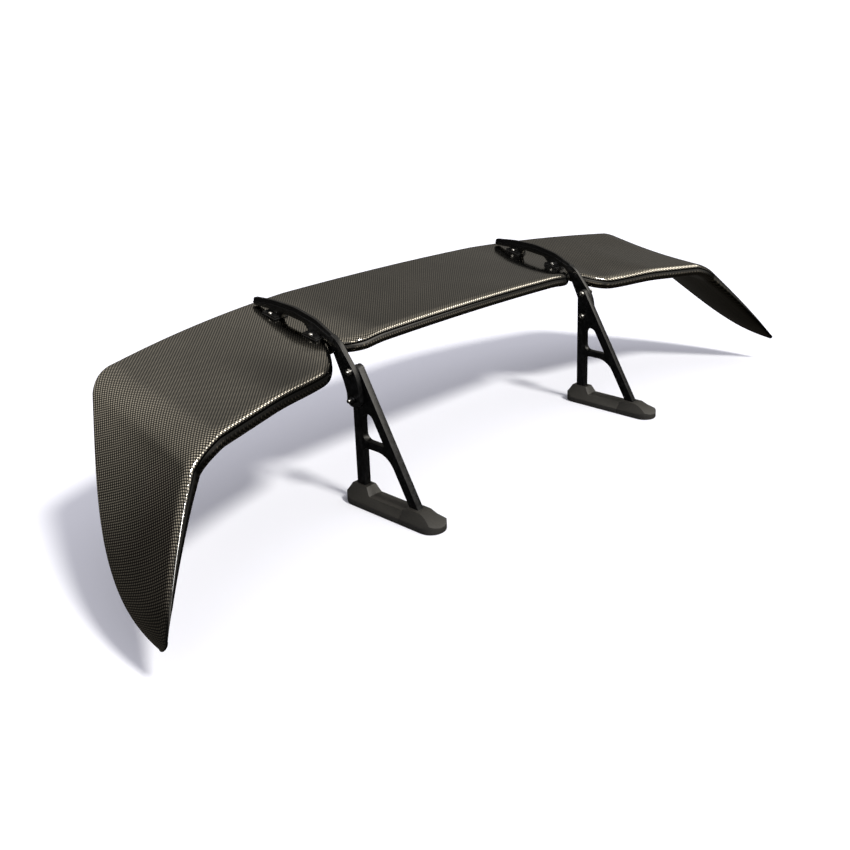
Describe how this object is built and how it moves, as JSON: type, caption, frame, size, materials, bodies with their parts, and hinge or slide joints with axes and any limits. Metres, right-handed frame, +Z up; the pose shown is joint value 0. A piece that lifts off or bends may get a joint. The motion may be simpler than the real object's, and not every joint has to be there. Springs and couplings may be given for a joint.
{
  "type": "racing rear wing",
  "caption": "Racing rear wing: hollow carbon blade with drooped ends on swan-neck arms that tilt on triangular uprights with bolt-down feet.",
  "frame": {"origin": "on the ground, at the centre of the rectangle of the four bolt holes in the two feet", "axes": "+X along the span, +Y to the rear (from the leading edge towards the trailing edge), +Z up"},
  "size_m": [1.6058, 0.456, 0.3199],
  "materials": {
    "carbon_skin": "plain carbon weave under clear gloss coat",
    "carbon_core": "unpolished carbon laminate",
    "bare_alloy": "machined",
    "black_alloy": "satin black anodised",
    "foot_plastic": "fine textured charcoal moulding",
    "black_rubber": "soft matte",
    "bright_steel": "plain stainless",
    "dark_steel": "black oxide"
  },
  "bodies": {
    "stand": {"left_upright": "black_alloy", "right_upright": "black_alloy", "left_base_plate": "dark_steel", "right_base_plate": "dark_steel", "left_foot_cover": "foot_plastic", "right_foot_cover": "foot_plastic", "left_foot_gasket": "black_rubber", "right_foot_gasket": "black_rubber", "leg_screws": "dark_steel", "pivot_bolts": "bright_steel", "pivot_nuts": "bright_steel", "lock_bolts": "bright_steel", "lock_nuts": "dark_steel", "head_washers": "bright_steel", "spacer_washers": "black_rubber", "nut_washers": "dark_steel"},
    "wing": {"wing_upper_skin": "carbon_skin", "wing_lower_skin": "carbon_skin", "wing_front_spar": "carbon_core", "wing_rear_spar": "carbon_core", "wing_ribs": "carbon_core", "wing_hardpoints": "bare_alloy", "left_arm": "black_alloy", "right_arm": "black_alloy", "pad_gaskets": "black_rubber", "pad_screws": "bright_steel", "pad_washers": "bright_steel"}
  },
  "joints": [
    {"name": "angle_adjust", "type": "hinge", "parent": "stand", "child": "wing", "pos_m": [0, 0.071, 0.233], "axis": [1, 0, 0], "range_deg": [-4, 8]}
  ]
}
